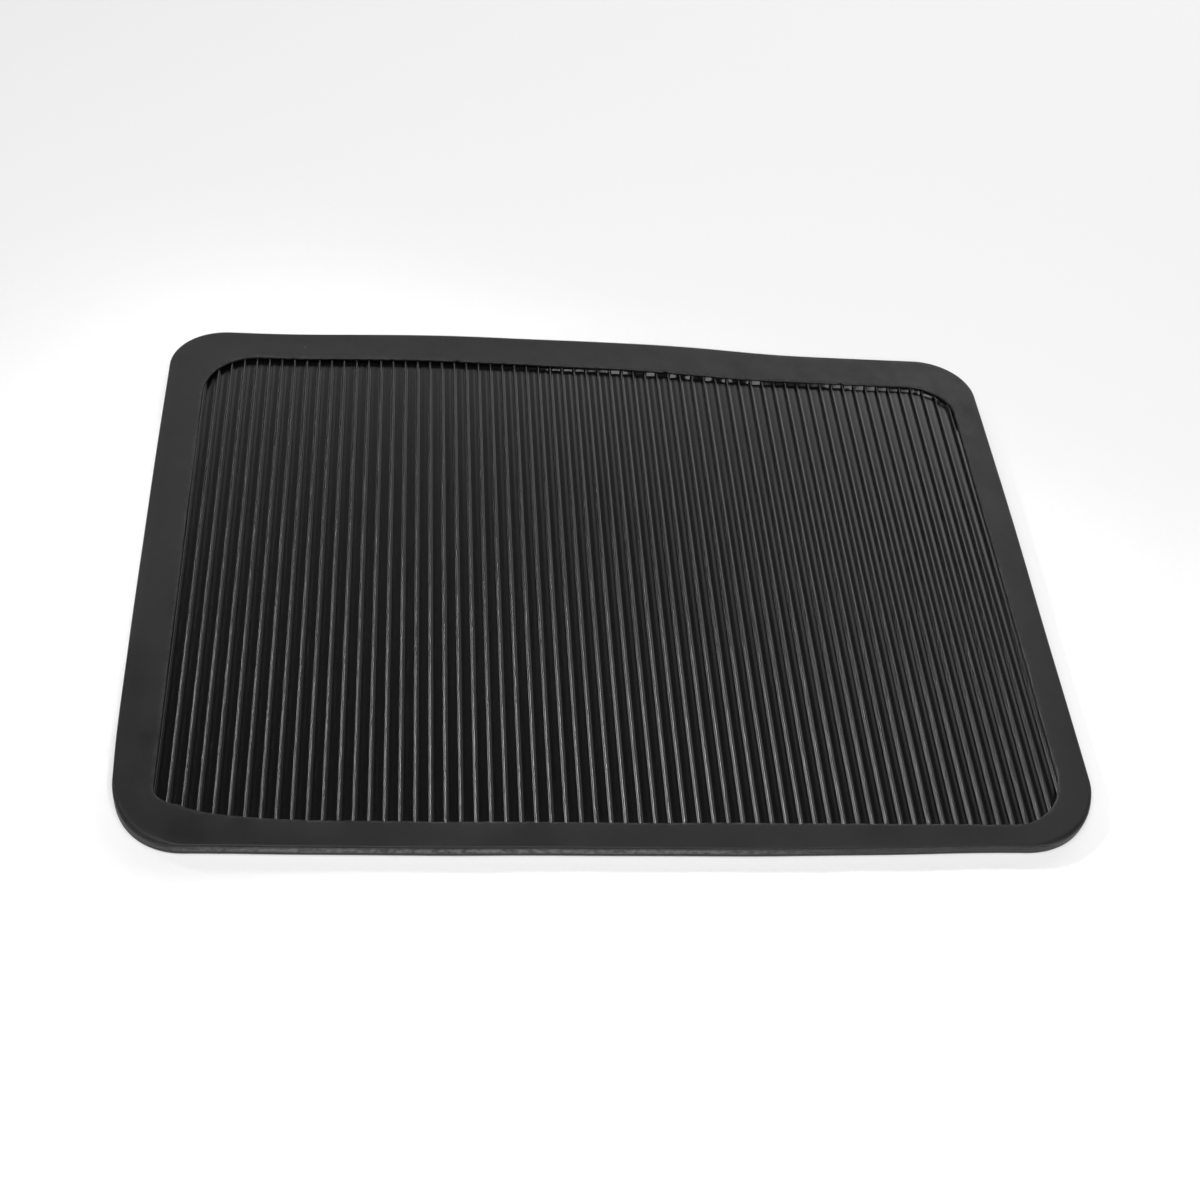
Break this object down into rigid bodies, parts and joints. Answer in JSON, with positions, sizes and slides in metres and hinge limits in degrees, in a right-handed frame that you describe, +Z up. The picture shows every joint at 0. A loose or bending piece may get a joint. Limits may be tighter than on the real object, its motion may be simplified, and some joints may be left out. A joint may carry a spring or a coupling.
{
  "type": "seedling heat mat",
  "caption": "Flat black rubber heat mat: a smooth raised border round a ribbed field, over a heating wire and foil, with a cord gland in its rear edge.",
  "frame": {"origin": "centre of the mat's outline, on the surface that it lies on", "axes": "+X along the long side, +Y towards the rear edge with the cord gland, +Z up"},
  "size_m": [0.5334, 0.3938, 0.0095],
  "materials": {
    "border_rubber": "moulded black rubber, satin",
    "ribbed_rubber": "ribbed black rubber, satin crests",
    "base_rubber": "smooth black rubber, matt",
    "gland_rubber": "moulded black rubber",
    "plate_foil": "blank satin foil plate",
    "adhesive": "acrylic adhesive film",
    "foil": "bright rolled foil",
    "foam": "closed-cell foam",
    "resistance_alloy": "drawn alloy wire",
    "silicone_jacket": "silicone rubber jacket",
    "glass_cloth": "woven glass cloth",
    "tinned_brass": "tinned brass",
    "steel_case": "pressed steel",
    "epoxy_seal": "cast epoxy",
    "lead_insulation": "extruded insulation",
    "fuse_body": "glazed fuse body",
    "shrink_sleeve": "heat-shrink sleeve",
    "moulded_plastic": "moulded polyamide"
  },
  "bodies": {
    "root": {"border_frame": "border_rubber", "ribbed_sheet": "ribbed_rubber", "base_sheet": "base_rubber", "rating_plate": "plate_foil", "cord_gland": "gland_rubber", "base_bond_film": "adhesive", "reflector_foil": "foil", "insulation_foam": "foam", "heater_conductor": "resistance_alloy", "heater_jacket": "silicone_jacket", "hold_down_tapes": "glass_cloth", "heat_spreader_foil": "foil", "top_bond_film": "adhesive", "cold_joint_barrels": "tinned_brass", "thermostat_case": "steel_case", "thermostat_end_seal": "epoxy_seal", "thermostat_blade": "steel_case", "thermostat_sleeve": "glass_cloth", "thermostat_splice_lead": "lead_insulation", "thermostat_heater_lead": "lead_insulation", "thermal_fuse": "fuse_body", "fuse_sleeve": "glass_cloth", "fuse_splice_lead": "lead_insulation", "fuse_heater_lead": "lead_insulation", "live_crimp": "tinned_brass", "neutral_crimp": "tinned_brass", "crimp_sleeves": "shrink_sleeve", "splice_cradle": "moulded_plastic", "splice_cover": "moulded_plastic"}
  },
  "joints": []
}
